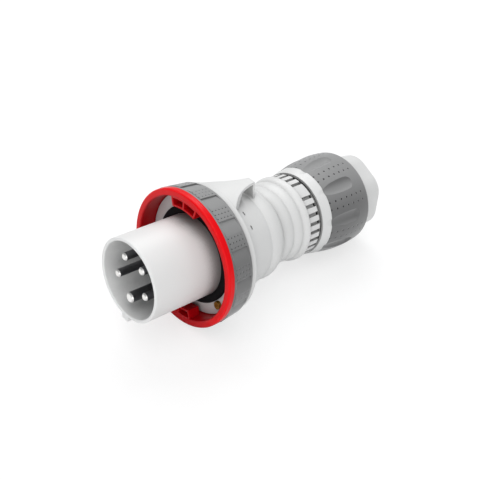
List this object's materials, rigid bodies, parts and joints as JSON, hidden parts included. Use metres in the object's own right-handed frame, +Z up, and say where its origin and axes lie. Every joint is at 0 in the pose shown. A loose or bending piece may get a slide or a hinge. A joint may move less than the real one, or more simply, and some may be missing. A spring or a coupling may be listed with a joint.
{
  "type": "industrial plug",
  "caption": "Industrial pin and sleeve plug with round contacts in a keyed sleeve, a bayonet locking ring, a tapered body with an eyelet and a screwed cable gland.",
  "frame": {"origin": "on the floor, under the middle of the plug's length and width, with the plug lying as it comes to rest", "axes": "+X towards the cable end, with the mouth to -X and raised by the tilt at rest; +Z up; the key and the earth contact are below"},
  "size_m": [0.2397, 0.1068, 0.1062],
  "materials": {
    "carrier_plastic": "fine moulded, off white",
    "housing_plastic": "fine moulded, off white",
    "nut_plastic": "fine moulded, off white",
    "ring_plastic": "satin red",
    "grip_elastomer": "matt soft grip, grey",
    "insulator_plastic": "matt dark grey",
    "zinc_steel": "zinc plated",
    "yellow_zinc_steel": "yellow zinc plated",
    "seal_rubber": "matt black",
    "gasket_rubber": "matt black",
    "cage_plastic": "matt grey",
    "washer_plastic": "smooth pale",
    "contact_metal": "turned brass, nickel plated"
  },
  "bodies": {
    "plug_body": {"contact_sleeve": "carrier_plastic", "sleeve_floor": "carrier_plastic", "contact_carrier": "carrier_plastic", "terminal_block": "carrier_plastic", "pin_l1": "contact_metal", "pin_l2": "contact_metal", "pin_l3": "contact_metal", "pin_neutral": "contact_metal", "pin_earth": "contact_metal", "terminal_screws": "zinc_steel", "rear_insulator": "insulator_plastic", "insulator_screw": "zinc_steel", "carrier_o_ring": "seal_rubber", "face_gasket": "gasket_rubber", "flange_screws": "yellow_zinc_steel", "housing": "housing_plastic", "gland_o_ring": "seal_rubber", "clamping_cage": "cage_plastic", "cable_seal": "seal_rubber"},
    "ring": {"locking_ring": "ring_plastic", "ring_grip": "grip_elastomer"},
    "washer": {"thrust_washer": "washer_plastic"},
    "nut": {"gland_nut": "nut_plastic", "nut_grip": "grip_elastomer"}
  },
  "joints": [
    {"name": "ring_turn", "type": "hinge", "parent": "plug_body", "child": "ring", "pos_m": [-0.05233, 0, 0.05172], "axis": [0.9957, 0, -0.0922], "range_deg": [0, 45]},
    {"name": "nut_feed", "type": "slide", "parent": "plug_body", "child": "washer", "axis": [-0.9957, 0, 0.0922], "range_m": [-0.0061, 0.0028]},
    {"name": "nut_turn", "type": "hinge", "parent": "washer", "child": "nut", "pos_m": [0.07911, 0, 0.03955], "axis": [-0.9957, 0, 0.0922], "range_deg": [-720, 324]}
  ],
  "couplings": [
    {"joint": "nut_feed", "follows": "nut_turn", "m_per_rad": 0.00047746}
  ]
}
